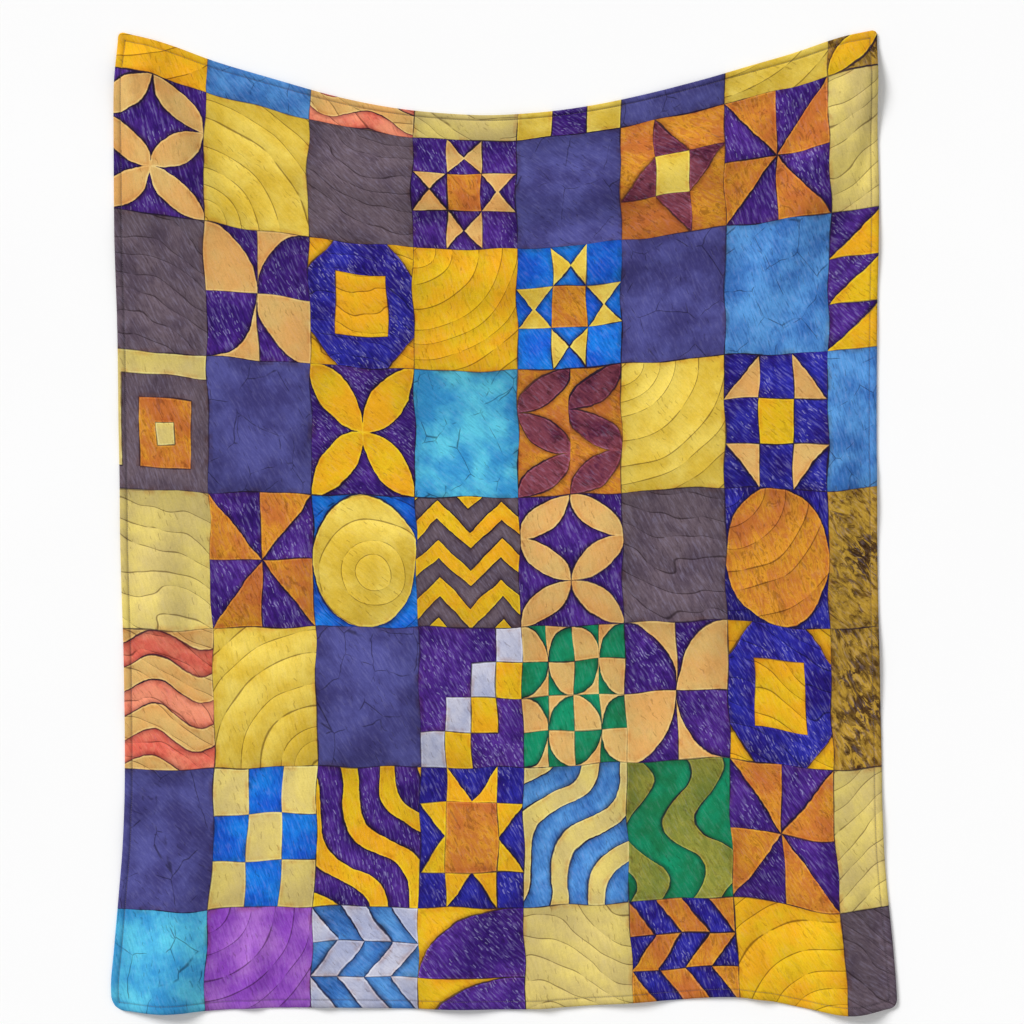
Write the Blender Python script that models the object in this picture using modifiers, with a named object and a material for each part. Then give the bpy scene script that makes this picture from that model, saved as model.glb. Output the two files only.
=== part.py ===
# A fleece throw blanket, laid out face up on a level surface.
# It is one cut of soft knitted fleece with a narrow turned hem all round.
# The top hem sags between its two corners, as it does when a throw is held up by them.
# The bottom hem waves, and low soft folds run in from the corners and the hems.
# Metres, +Z up, +Y towards the top hem. The origin is under the middle of the blanket, on the surface.

import math

import bmesh
import bpy
import numpy as np

# The cloth.
FLEECE_THICKNESS = 0.0028
HEM_THICKNESS = 0.0042
HEM_WIDTH = 0.014
HEM_STEP = 0.005

# The top hem's sag dies out down the cloth: a quick part near the hem and a slow part below it.
SAG_FOOT = 0.42
SLOW_SAG_SHARE = 0.60
QUICK_SAG_POWER = 4.0

# How round each corner is cut.
BOTTOM_LEFT_RADIUS = 0.022
BOTTOM_RIGHT_RADIUS = 0.013
TOP_RADIUS = 0.010

# The side hems from the bottom to the top: share of the length, left hem and right hem.
SIDE_LINE = (
    # share, left_x, right_x
    (0.000, -0.6225, 0.6250),
    (0.025, -0.6245, 0.6230),
    (0.060, -0.6200, 0.6185),
    (0.120, -0.6120, 0.6090),
    (0.155, -0.6070, 0.6045),
    (0.275, -0.6025, 0.5995),
    (0.460, -0.6090, 0.5935),
    (0.705, -0.6150, 0.5930),
    (0.830, -0.6200, 0.5960),
    (0.940, -0.6185, 0.5920),
    (1.000, -0.6130, 0.5930),
)

# The bottom hem from left to right: share of the width and place along Y.
BOTTOM_LINE = (
    # share, y
    (0.000, -0.7730),
    (0.060, -0.7770),
    (0.180, -0.7705),
    (0.265, -0.7690),
    (0.430, -0.7715),
    (0.530, -0.7715),
    (0.620, -0.7645),
    (0.710, -0.7575),
    (0.800, -0.7530),
    (0.840, -0.7590),
    (0.885, -0.7710),
    (0.940, -0.7790),
    (1.000, -0.7690),
)

# The top hem from left to right: one sagging curve from corner to corner, a little lopsided.
TOP_LINE = (
    # share, y
    (0.000, 0.7820),
    (0.066, 0.7610),
    (0.125, 0.7350),
    (0.203, 0.7065),
    (0.282, 0.6795),
    (0.361, 0.6605),
    (0.430, 0.6515),
    (0.500, 0.6485),
    (0.570, 0.6545),
    (0.637, 0.6670),
    (0.699, 0.6830),
    (0.762, 0.7020),
    (0.825, 0.7245),
    (0.889, 0.7470),
    (0.951, 0.7720),
    (1.000, 0.7850),
)

# The soft folds. Each crest runs from its start to its end, its middle bowed to the right of that line.
# A fade is the share of its length over which a fold dies out, and 0 lets it run out through the hem.
FOLDS = (
    # name, start_x, start_y, end_x, end_y, bow, height, half_width, fade_in, fade_out
    ("bottom_right_flute", 0.552, -0.782, 0.505, -0.300, -0.012, 0.023, 0.074, 0.00, 0.85),
    ("bottom_left_flute", -0.540, -0.782, -0.522, -0.380, 0.010, 0.017, 0.070, 0.00, 0.85),
    ("bottom_middle_flute", -0.075, -0.778, -0.120, -0.440, 0.008, 0.010, 0.088, 0.00, 0.90),
    ("left_corner_pull", -0.604, 0.770, -0.250, 0.130, 0.030, 0.017, 0.066, 0.10, 0.75),
    ("right_corner_pull", 0.586, 0.770, 0.275, 0.170, -0.030, 0.017, 0.064, 0.10, 0.75),
    ("upper_swag", -0.500, 0.640, 0.500, 0.655, 0.128, 0.017, 0.060, 0.35, 0.35),
    ("middle_swag", -0.350, 0.455, 0.330, 0.470, 0.074, 0.013, 0.064, 0.42, 0.42),
    ("lower_swag", -0.190, 0.270, 0.235, 0.285, 0.036, 0.008, 0.068, 0.45, 0.45),
    ("right_side_roll", 0.532, 0.330, 0.548, -0.210, 0.006, 0.011, 0.050, 0.45, 0.45),
    ("left_side_roll", -0.556, 0.120, -0.540, -0.330, -0.006, 0.010, 0.052, 0.45, 0.45),
    ("low_middle_ridge", 0.205, -0.770, 0.150, -0.250, -0.014, 0.009, 0.082, 0.00, 0.85),
)

# How finely the cloth is cut into faces between the two hem bands.
FIELD_COLUMNS = 42
FIELD_ROWS = 51

FLEECE_COLOUR = (0.30, 0.27, 0.42, 1.0)
FLEECE_ROUGHNESS = 0.92


def curve_through(shares, values, at):
    """A smooth curve through a table's rows: a cubic on each stretch, with slopes from its neighbours."""
    slopes = np.gradient(values, shares)
    stretch = np.clip(np.searchsorted(shares, at, side="right") - 1, 0, len(shares) - 2)
    width = shares[stretch + 1] - shares[stretch]
    t = np.clip((at - shares[stretch]) / width, 0.0, 1.0)
    start = (2 * t**3 - 3 * t**2 + 1) * values[stretch] + (t**3 - 2 * t**2 + t) * width * slopes[stretch]
    end = (3 * t**2 - 2 * t**3) * values[stretch + 1] + (t**3 - t**2) * width * slopes[stretch + 1]
    return start + end


def smooth_step(t):
    """Rises from 0 to 1 with no corner at either end."""
    t = np.clip(t, 0.0, 1.0)
    return t * t * (3 - 2 * t)


def hem_line_shares(size, field_count):
    """Where the grid's lines lie along one side: two for each hem, and even ones over the field between."""
    hem = HEM_WIDTH / size
    step = (HEM_WIDTH + HEM_STEP) / size
    field = np.linspace(step, 1 - step, field_count + 1)
    return np.concatenate([[0, hem], field, [1 - hem, 1]])


def laid_size():
    """The cloth's middling width and length as it lies, which turn sizes along it into shares."""
    side, bottom, top = np.array(SIDE_LINE), np.array(BOTTOM_LINE), np.array(TOP_LINE)
    return side[:, 2].mean() - side[:, 1].mean(), top[:, 1].mean() - bottom[:, 1].mean()


def rounded_corner(share_x, share_y, width, length):
    """Draws the grid's square corners in to quarter circles, and leaves the rest of it where it is."""
    corners = (
        (0, 0, BOTTOM_LEFT_RADIUS),
        (1, 0, BOTTOM_RIGHT_RADIUS),
        (0, 1, TOP_RADIUS),
        (1, 1, TOP_RADIUS),
    )
    for corner_x, corner_y, radius in corners:
        p = 1 - np.abs(share_x - corner_x) * width / radius
        q = 1 - np.abs(share_y - corner_y) * length / radius
        near = (p > 0) & (q > 0)
        round_p = np.where(near, p * np.sqrt(np.clip(1 - q * q / 2, 0, 1)), p)
        round_q = np.where(near, q * np.sqrt(np.clip(1 - p * p / 2, 0, 1)), q)
        share_x = np.where(near, np.abs(corner_x - (1 - round_p) * radius / width), share_x)
        share_y = np.where(near, np.abs(corner_y - (1 - round_q) * radius / length), share_y)
    return share_x, share_y


def laid_place(share_x, share_y):
    """Where a point of the cloth lies on the surface, from its shares of the width and of the length."""
    side, bottom, top = np.array(SIDE_LINE), np.array(BOTTOM_LINE), np.array(TOP_LINE)
    left = curve_through(side[:, 0], side[:, 1], share_y)
    right = curve_through(side[:, 0], side[:, 2], share_y)
    x = left + (right - left) * share_x
    foot = curve_through(bottom[:, 0], bottom[:, 1], share_x)
    straight = top[0, 1] + (top[-1, 1] - top[0, 1]) * share_x
    sag = straight - curve_through(top[:, 0], top[:, 1], share_x)
    rise = np.clip((share_y - SAG_FOOT) / (1 - SAG_FOOT), 0, 1)
    drop = SLOW_SAG_SHARE * rise + (1 - SLOW_SAG_SHARE) * rise**QUICK_SAG_POWER
    y = foot + (straight - foot) * share_y - sag * drop
    return x, y


def fold_height(x, y):
    """How far the folds lift the cloth off the surface at a place on it."""
    height = np.zeros_like(x)
    for _, start_x, start_y, end_x, end_y, bow, peak, half_width, fade_in, fade_out in FOLDS:
        run_x, run_y = end_x - start_x, end_y - start_y
        length = math.hypot(run_x, run_y)
        along = ((x - start_x) * run_x + (y - start_y) * run_y) / length**2
        inside = np.clip(along, 0, 1)
        across = ((x - start_x) * run_y - (y - start_y) * run_x) / length
        across = across - 4 * bow * inside * (1 - inside)
        crest = np.cos(math.pi / 2 * np.clip(np.abs(across) / half_width, 0, 1)) ** 2
        if fade_in:
            crest = crest * smooth_step(along / fade_in)
        if fade_out:
            crest = crest * smooth_step((1 - along) / fade_out)
        height = height + peak * crest
    return height


def cloth_grid():
    """The underside of the cloth as an open grid, with each point's share of the hem's extra thickness."""
    width, length = laid_size()
    lines_x = hem_line_shares(width, FIELD_COLUMNS)
    lines_y = hem_line_shares(length, FIELD_ROWS)
    cloth = bmesh.new()
    bmesh.ops.create_grid(cloth, x_segments=len(lines_x) - 1, y_segments=len(lines_y) - 1, size=0.5)
    mesh = bpy.data.meshes.new("throw_blanket")
    cloth.to_mesh(mesh)
    cloth.free()
    points = np.empty(len(mesh.vertices) * 3)
    mesh.vertices.foreach_get("co", points)
    points = points.reshape(-1, 3)
    column = np.rint((points[:, 0] + 0.5) * (len(lines_x) - 1)).astype(int)
    row = np.rint((points[:, 1] + 0.5) * (len(lines_y) - 1)).astype(int)
    share_x, share_y = rounded_corner(lines_x[column], lines_y[row], width, length)
    x, y = laid_place(share_x, share_y)
    placed = np.stack([x, y, fold_height(x, y)], axis=1)
    middle = (placed[:, :2].max(axis=0) + placed[:, :2].min(axis=0)) / 2
    placed[:, :2] -= middle
    mesh.vertices.foreach_set("co", placed.ravel())
    from_edge = np.minimum(
        np.minimum(column, len(lines_x) - 1 - column),
        np.minimum(row, len(lines_y) - 1 - row),
    )
    return mesh, from_edge <= 1


def fleece_material():
    """Dull soft fleece in the print's middle tone."""
    fleece = bpy.data.materials.new("printed_fleece")
    fleece.use_nodes = True
    shader = fleece.node_tree.nodes["Principled BSDF"]
    shader.inputs["Base Color"].default_value = FLEECE_COLOUR
    shader.inputs["Roughness"].default_value = FLEECE_ROUGHNESS
    shader.inputs["Metallic"].default_value = 0.0
    return fleece


def throw_blanket(collection):
    """The whole throw: a sheet of fleece, thicker along its turned hem."""
    mesh, in_hem = cloth_grid()
    mesh.materials.append(fleece_material())
    blanket = bpy.data.objects.new("throw_blanket", mesh)
    collection.objects.link(blanket)
    hem = blanket.vertex_groups.new(name="hem")
    hem.add([int(i) for i in np.flatnonzero(in_hem)], 1.0, "REPLACE")
    shell = blanket.modifiers.new("fleece", "SOLIDIFY")
    shell.thickness = HEM_THICKNESS
    shell.offset = 1.0
    shell.use_even_offset = False
    shell.vertex_group = hem.name
    shell.thickness_vertex_group = FLEECE_THICKNESS / HEM_THICKNESS
    mesh.shade_smooth()
    return blanket


def clear_scene():
    for old in list(bpy.data.objects):
        bpy.data.objects.remove(old)


def main():
    clear_scene()
    collection = bpy.data.collections.new("throw_blanket")
    bpy.context.scene.collection.children.link(collection)
    throw_blanket(collection)


main()
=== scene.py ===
# A fleece throw blanket with a patchwork print, laid out face up and seen from straight above.
# Metres, +Z up, +Y towards the top hem.

import math

import bpy
import numpy as np
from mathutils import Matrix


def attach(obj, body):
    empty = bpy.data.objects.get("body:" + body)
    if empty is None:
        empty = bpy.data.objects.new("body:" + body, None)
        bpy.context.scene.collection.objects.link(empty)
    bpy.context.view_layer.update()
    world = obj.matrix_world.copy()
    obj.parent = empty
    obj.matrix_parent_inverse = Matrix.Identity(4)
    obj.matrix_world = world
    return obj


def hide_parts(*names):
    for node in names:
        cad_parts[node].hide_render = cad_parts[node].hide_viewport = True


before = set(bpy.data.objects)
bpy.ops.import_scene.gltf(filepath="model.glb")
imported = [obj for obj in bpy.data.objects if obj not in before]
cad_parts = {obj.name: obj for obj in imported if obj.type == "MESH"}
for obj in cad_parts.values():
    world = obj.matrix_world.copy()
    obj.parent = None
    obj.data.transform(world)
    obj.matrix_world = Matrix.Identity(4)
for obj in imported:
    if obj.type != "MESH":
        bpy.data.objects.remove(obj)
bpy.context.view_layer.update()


# The camera looks straight down on the cloth with a long lens, so that its outline is the hanging throw's.
# The picture is 1024 pixels square, and one pixel is 1.59 mm of cloth.
PICTURE_SIDE = 1024
METRES_PER_PIXEL = 0.00159
CLOTH_MIDDLE_PIXEL = (504.0, 522.0)
LENS_MM = 85.0
SENSOR_MM = 36.0


def add_object(name, data):
    """Puts a camera, a light or a mesh into the scene."""
    thing = bpy.data.objects.new(name, data)
    bpy.context.scene.collection.objects.link(thing)
    return thing


def add_camera():
    data = bpy.data.cameras.new("camera")
    data.lens = LENS_MM
    data.sensor_width = SENSOR_MM
    camera = add_object("camera", data)
    camera.location = (
        (PICTURE_SIDE / 2 - CLOTH_MIDDLE_PIXEL[0]) * METRES_PER_PIXEL,
        (CLOTH_MIDDLE_PIXEL[1] - PICTURE_SIDE / 2) * METRES_PER_PIXEL,
        PICTURE_SIDE * METRES_PER_PIXEL * LENS_MM / SENSOR_MM,
    )
    bpy.context.scene.camera = camera


add_camera()


# The light is one broad soft source up and to the left, a weaker one on the right, and pale walls all round.
# The print's own colours are shown as they are, with no film curve.
SUNS = (
    # name, x, y, z of where it comes from, how wide in degrees, strength
    ("key", -2.5, 2.2, 2.3, 24.0, 2.90),
    ("fill", 2.6, -1.6, 2.8, 60.0, 0.50),
)
WALL_WHITE = (1.0, 1.0, 1.0, 1.0)
WALL_LIGHT = 0.36
WALL_BRIGHTNESS = 0.95


class Wire:
    """A value that flows out of a node, so that node maths is written as a formula."""

    def __init__(self, socket):
        self.socket = socket

    def __add__(self, other):
        return maths("ADD", self, other)

    def __sub__(self, other):
        return maths("SUBTRACT", self, other)

    def __rsub__(self, other):
        return maths("SUBTRACT", other, self)

    def __mul__(self, other):
        return maths("MULTIPLY", self, other)

    def __truediv__(self, other):
        return maths("DIVIDE", self, other)

    def __abs__(self):
        return maths("ABSOLUTE", self)


def plug(socket, value):
    """Puts a wire or a plain value into a socket. None leaves it as it is."""
    if isinstance(value, Wire):
        socket.id_data.links.new(value.socket, socket)
    elif value is not None:
        socket.default_value = value


def add_node(kind, *values, tree=None, **settings):
    """Adds a node, in the tree that its values come from or in the one given. Its settings come first, then a
    wire or a plain value for each input in turn. Gives its outputs as wires, by name and by identifier."""
    tree = tree or next(value.socket.id_data for value in values if isinstance(value, Wire))
    node = tree.nodes.new("ShaderNode" + kind)
    for name, value in settings.items():
        setattr(node, name, value)
    for socket, value in zip(node.inputs, values):
        plug(socket, value)
    return {key: Wire(socket) for socket in node.outputs for key in (socket.name, socket.identifier)}


def maths(operation, *values):
    """One Math node on wires and numbers."""
    return add_node("Math", *values, operation=operation)["Value"]


def add_lights():
    for name, x, y, z, width, strength in SUNS:
        data = bpy.data.lights.new(name, "SUN")
        data.angle = math.radians(width)
        data.energy = strength
        light = add_object(name, data)
        light.location = (x, y, z)
        light.rotation_euler = (-light.location).to_track_quat("-Z", "Y").to_euler()
    world = bpy.data.worlds.new("pale_walls")
    world.use_nodes = True
    tree = world.node_tree
    tree.nodes.remove(tree.nodes["Background"])
    lit, seen = (
        add_node("Background", WALL_WHITE, strength, tree=tree)["Background"]
        for strength in (WALL_LIGHT, WALL_BRIGHTNESS)
    )
    seen_by_camera = add_node("LightPath", tree=tree)["Is Camera Ray"]
    walls = add_node("MixShader", seen_by_camera, lit, seen)["Shader"]
    plug(tree.nodes["World Output"].inputs["Surface"], walls)
    bpy.context.scene.world = world
    bpy.context.scene.view_settings.view_transform = "Standard"


add_lights()


# The floor is one wide level sheet of pale matte board. It isn't part of the throw.
FLOOR_HALF_SIDE = 12.0
FLOOR_DROP = 0.0004
FLOOR_CELLS = 8
FLOOR_CLOUDS = 3.0
FLOOR_DULL = (0.975, 0.975, 0.975, 1.0)
FLOOR_PALE = (0.995, 0.995, 0.995, 1.0)


def noise(place, scale, detail=2.0, roughness=0.5, swirl=0.0):
    """Smooth noise around one half. The scale is in waves a metre where the place is in metres."""
    return add_node("TexNoise", place, None, scale, detail, roughness, None, None, None, swirl)["Fac"]


def blended(factor, first, second, way="MIX"):
    """Two colours mixed by a factor."""
    skipped = [None] * 5
    return add_node("Mix", factor, *skipped, first, second, data_type="RGBA", blend_type=way)["Result_Color"]


def new_material(name, roughness, sheen=0.0, specular=0.15):
    """A material with its tree and its Principled shader's inputs."""
    material = bpy.data.materials.new(name)
    material.use_nodes = True
    inputs = material.node_tree.nodes["Principled BSDF"].inputs
    inputs["Roughness"].default_value = roughness
    inputs["Sheen Weight"].default_value = sheen
    inputs["Sheen Roughness"].default_value = 0.5
    inputs["Specular IOR Level"].default_value = specular
    return material, material.node_tree, inputs


def new_mesh(name, points, faces):
    mesh = bpy.data.meshes.new(name)
    mesh.from_pydata(points, [], faces)
    return mesh


def face_corners(grid):
    """The values of a grid of points at the four corners of each of its faces, counter-clockwise."""
    return np.stack([grid[:-1, :-1], grid[:-1, 1:], grid[1:, 1:], grid[1:, :-1]])


def add_floor():
    steps = np.linspace(-FLOOR_HALF_SIDE, FLOOR_HALF_SIDE, FLOOR_CELLS + 1)
    x, y = np.meshgrid(steps, steps)
    points = np.stack([x, y, np.full_like(x, -FLOOR_DROP)], axis=-1).reshape(-1, 3)
    number = np.arange(x.size).reshape(x.shape)
    floor = add_object("floor", new_mesh("floor", points, face_corners(number).reshape(4, -1).T))
    material, tree, inputs = new_material("pale_board", 0.9)
    clouds = noise(add_node("TexCoord", tree=tree)["Object"], FLOOR_CLOUDS)
    plug(inputs["Base Color"], blended(clouds, FLOOR_DULL, FLOOR_PALE))
    floor.data.materials.append(material)


add_floor()


# The throw is one cut of knitted fleece, 50 by 60 inches, printed on its face and left plain on its back.
# It lies in the folds of its solid: the top hem sags between its corners and the bottom hem waves.
# Its edge is turned under once and sewn down 12.5 mm in, which makes a low roll all round.
FLAT_WIDTH = 1.270
FLAT_LENGTH = 1.524
FLEECE_THICKNESS = 0.0028
HEM_THICKNESS = 0.0042
HEM_WIDTH = 0.014
STITCH_LINE = 0.0125

# The sag of the top hem dies out down the cloth: a quick part near the hem and a slow part below it.
SAG_FOOT = 0.42
SLOW_SAG_SHARE = 0.60
QUICK_SAG_POWER = 4.0

# How round each corner is cut.
CORNERS = (
    # side across, side along, radius
    (0, 0, 0.022),
    (1, 0, 0.013),
    (0, 1, 0.010),
    (1, 1, 0.010),
)

# The side hems from the bottom to the top: share of the length, left hem and right hem.
SIDE_LINE = (
    # share, left_x, right_x
    (0.000, -0.6225, 0.6250),
    (0.025, -0.6245, 0.6230),
    (0.060, -0.6200, 0.6185),
    (0.120, -0.6120, 0.6090),
    (0.155, -0.6070, 0.6045),
    (0.275, -0.6025, 0.5995),
    (0.460, -0.6090, 0.5935),
    (0.705, -0.6150, 0.5930),
    (0.830, -0.6200, 0.5960),
    (0.940, -0.6185, 0.5920),
    (1.000, -0.6130, 0.5930),
)

# The bottom hem from left to right: share of the width and place along Y.
BOTTOM_LINE = (
    # share, y
    (0.000, -0.7730),
    (0.060, -0.7770),
    (0.180, -0.7705),
    (0.265, -0.7690),
    (0.430, -0.7715),
    (0.530, -0.7715),
    (0.620, -0.7645),
    (0.710, -0.7575),
    (0.800, -0.7530),
    (0.840, -0.7590),
    (0.885, -0.7710),
    (0.940, -0.7790),
    (1.000, -0.7690),
)

# The top hem from left to right: one sagging curve from corner to corner, a little lopsided.
TOP_LINE = (
    # share, y
    (0.000, 0.7820),
    (0.066, 0.7610),
    (0.125, 0.7350),
    (0.203, 0.7065),
    (0.282, 0.6795),
    (0.361, 0.6605),
    (0.430, 0.6515),
    (0.500, 0.6485),
    (0.570, 0.6545),
    (0.637, 0.6670),
    (0.699, 0.6830),
    (0.762, 0.7020),
    (0.825, 0.7245),
    (0.889, 0.7470),
    (0.951, 0.7720),
    (1.000, 0.7850),
)

# The soft folds that the solid has, and the small creases between them. Each crest runs from
# start to end, its middle bowed to the right. A fade is the share of its length over which it dies out, and 0
# lets it run out through the hem.
FOLDS = (
    # start_x, start_y, end_x, end_y, bow, height, half_width, fade_in, fade_out
    # The solid's flutes up from the bottom hem: right, left and middle.
    (0.552, -0.782, 0.505, -0.300, -0.012, 0.023, 0.074, 0.00, 0.85),
    (-0.540, -0.782, -0.522, -0.380, 0.010, 0.017, 0.070, 0.00, 0.85),
    (-0.075, -0.778, -0.120, -0.440, 0.008, 0.010, 0.088, 0.00, 0.90),
    # The pulls that run in from the two upper corners.
    (-0.604, 0.770, -0.250, 0.130, 0.030, 0.017, 0.066, 0.10, 0.75),
    (0.586, 0.770, 0.275, 0.170, -0.030, 0.017, 0.064, 0.10, 0.75),
    # The swags below the sagging hem, from the upper one down.
    (-0.500, 0.640, 0.500, 0.655, 0.128, 0.017, 0.060, 0.35, 0.35),
    (-0.350, 0.455, 0.330, 0.470, 0.074, 0.013, 0.064, 0.42, 0.42),
    (-0.190, 0.270, 0.235, 0.285, 0.036, 0.008, 0.068, 0.45, 0.45),
    # The rolls beside the side hems, and a low ridge up from the bottom hem.
    (0.532, 0.330, 0.548, -0.210, 0.006, 0.011, 0.050, 0.45, 0.45),
    (-0.556, 0.120, -0.540, -0.330, -0.006, 0.010, 0.052, 0.45, 0.45),
    (0.205, -0.770, 0.150, -0.250, -0.014, 0.009, 0.082, 0.00, 0.85),
    # The creases of the sheet alone, first the fan below the left corner.
    (-0.598, 0.745, -0.505, 0.395, 0.010, 0.0034, 0.018, 0.15, 0.60),
    (-0.590, 0.760, -0.365, 0.420, 0.014, 0.0028, 0.015, 0.12, 0.55),
    (-0.585, 0.765, -0.285, 0.585, 0.026, 0.0036, 0.017, 0.12, 0.60),
    (-0.602, 0.730, -0.560, 0.560, 0.004, 0.0030, 0.013, 0.15, 0.60),
    # The fan below the right corner.
    (0.578, 0.745, 0.520, 0.420, -0.008, 0.0034, 0.018, 0.15, 0.60),
    (0.572, 0.762, 0.395, 0.435, -0.014, 0.0026, 0.015, 0.12, 0.55),
    (0.565, 0.768, 0.300, 0.600, -0.024, 0.0038, 0.017, 0.12, 0.60),
    # Faint drape lines under the top hem and between the swags.
    (-0.330, 0.618, 0.020, 0.590, 0.040, 0.0024, 0.016, 0.45, 0.45),
    (0.060, 0.598, 0.345, 0.640, 0.030, 0.0026, 0.017, 0.45, 0.45),
    (-0.405, 0.480, -0.080, 0.398, 0.026, 0.0022, 0.018, 0.45, 0.45),
    (0.100, 0.402, 0.415, 0.505, 0.026, 0.0024, 0.018, 0.45, 0.45),
    (-0.240, 0.215, 0.200, 0.225, 0.032, 0.0018, 0.022, 0.45, 0.45),
    # Short buckles in from the side hems.
    (-0.612, 0.330, -0.500, 0.255, 0.010, 0.0022, 0.017, 0.10, 0.60),
    (-0.600, -0.470, -0.480, -0.425, -0.008, 0.0024, 0.018, 0.10, 0.60),
    (0.592, 0.090, 0.468, 0.035, -0.010, 0.0024, 0.017, 0.10, 0.60),
    (0.598, -0.330, 0.455, -0.395, 0.008, 0.0022, 0.018, 0.10, 0.60),
    # Short ones up from the bottom hem.
    (-0.405, -0.770, -0.385, -0.520, 0.006, 0.0050, 0.030, 0.00, 0.80),
    (-0.290, -0.772, -0.300, -0.640, 0.003, 0.0034, 0.024, 0.00, 0.80),
    (0.405, -0.755, 0.372, -0.500, -0.006, 0.0046, 0.028, 0.00, 0.80),
    (0.062, -0.772, 0.050, -0.630, 0.003, 0.0030, 0.026, 0.00, 0.80),
    # Faint ones in the middle of the cloth.
    (-0.330, 0.060, -0.215, -0.260, 0.030, 0.0020, 0.030, 0.45, 0.45),
    (0.350, -0.010, 0.285, -0.300, -0.022, 0.0022, 0.030, 0.45, 0.45),
    (-0.020, 0.060, 0.090, -0.210, 0.024, 0.0016, 0.034, 0.45, 0.45),
)

# How the cloth rests a little uneven all over: two crossed swells.
SWELL_HEIGHT = 0.0020
SWELL_LONG = 0.31
SWELL_SHORT = 0.23

# The roll of the hem: its rounded edge, its crown, the groove at its stitches, and the puff where the cloth
# is single again.
EDGE_ROUND = 0.0030
HEM_CROWN = 0.0005
CROWN_START = 0.0020
CROWN_WIDTH = 0.0095
STITCH_GROOVE = 0.0018
GROOVE_HALF_WIDTH = 0.0014
BACK_GROOVE = 0.0008
HEM_STEP = 0.004
PUFF_HEIGHT = 0.0005
PUFF_PLACE = 0.018
PUFF_HALF_WIDTH = 0.004

# The puckers along the hem: how high and long, how their spacing drifts, how far they reach, and their start.
PUCKER_HEIGHT = 0.00045
PUCKER_LENGTH = 0.024
PUCKER_DRIFT = 0.15
PUCKER_REACH = 0.009
PUCKER_START = 0.006

# The print's blocks, how much of the first ones the cut takes off at the left and the bottom, and the mesh
# lines across one block, whose number divides by 2, 3, 4 and 6. Over a hem the mesh has lines of its own, and
# the blocks' lines start past them.
BLOCK_WIDTH = 0.1730
BLOCK_LENGTH = 0.2180
CUT_LEFT = 0.0230
CUT_BOTTOM = 0.0600
CELLS_PER_BLOCK = 24
HEM_LINES = (0.0010, 0.0030, 0.0060, 0.0092, 0.0112, 0.0125, 0.0140, 0.0162, 0.0195)
HEM_KEEP = 0.0205

# How far the print strays from a ruled grid, as hand-cut patches do, and how soon it does past the hem.
STRAY = 0.0015
STRAY_LONG = 0.17
STRAY_SHORT = 0.095
STRAY_START = 0.05
SHORT_SHARE = 0.6


def curve_through(shares, values, at):
    """A smooth curve through a table's rows: a cubic on each stretch, with slopes from its neighbours."""
    slopes = np.gradient(values, shares)
    stretch = np.clip(np.searchsorted(shares, at, side="right") - 1, 0, len(shares) - 2)
    width = shares[stretch + 1] - shares[stretch]
    t = np.clip((at - shares[stretch]) / width, 0.0, 1.0)
    start = (2 * t**3 - 3 * t**2 + 1) * values[stretch] + (t**3 - 2 * t**2 + t) * width * slopes[stretch]
    end = (3 * t**2 - 2 * t**3) * values[stretch + 1] + (t**3 - t**2) * width * slopes[stretch + 1]
    return start + end


def smooth_step(t):
    """Rises from 0 to 1 with no corner at either end: 3 t squared less 2 t cubed."""
    t = np.clip(t, 0.0, 1.0)
    return t * t * (3 - 2 * t)


def wave(run, length, shift=0.0):
    """A sine along a run, one wave to each length, shifted by an angle."""
    return np.sin(2 * math.pi * run / length + shift)


def bell(distance, half_width):
    """1 at no distance, dying away on both sides: e to the power of less its square."""
    return np.exp(-((distance / half_width) ** 2))


def rounded_corner(share_x, share_y):
    """Draws the square corners in to quarter circles: each point near one keeps its square ring's place
    but on a round ring, p times the root of 1 less half of q squared."""
    for corner_x, corner_y, radius in CORNERS:
        p = 1 - np.abs(share_x - corner_x) * FLAT_WIDTH / radius
        q = 1 - np.abs(share_y - corner_y) * FLAT_LENGTH / radius
        near = (p > 0) & (q > 0)
        round_p = p * np.sqrt(np.clip(1 - q * q / 2, 0, 1))
        round_q = q * np.sqrt(np.clip(1 - p * p / 2, 0, 1))
        share_x = np.where(near, np.abs(corner_x - (1 - round_p) * radius / FLAT_WIDTH), share_x)
        share_y = np.where(near, np.abs(corner_y - (1 - round_q) * radius / FLAT_LENGTH), share_y)
    return share_x, share_y


def laid_place(share_x, share_y):
    """Where a point of the cloth lies: across, between the two side hems at its share of the width;
    along, between the bottom hem and a straight top, less the part of the top's sag that reaches it."""
    share_x, share_y = rounded_corner(share_x, share_y)
    side_shares, left_line, right_line = np.array(SIDE_LINE).T
    left = curve_through(side_shares, left_line, share_y)
    right = curve_through(side_shares, right_line, share_y)
    bottom, top = (curve_through(*np.array(line).T, share_x) for line in (BOTTOM_LINE, TOP_LINE))
    top_start, top_end = TOP_LINE[0][1], TOP_LINE[-1][1]
    straight = top_start + (top_end - top_start) * share_x
    climb = np.clip((share_y - SAG_FOOT) / (1 - SAG_FOOT), 0, 1)
    drop = SLOW_SAG_SHARE * climb + (1 - SLOW_SAG_SHARE) * climb**QUICK_SAG_POWER
    return left + (right - left) * share_x, bottom + (straight - bottom) * share_y - (straight - top) * drop


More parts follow.
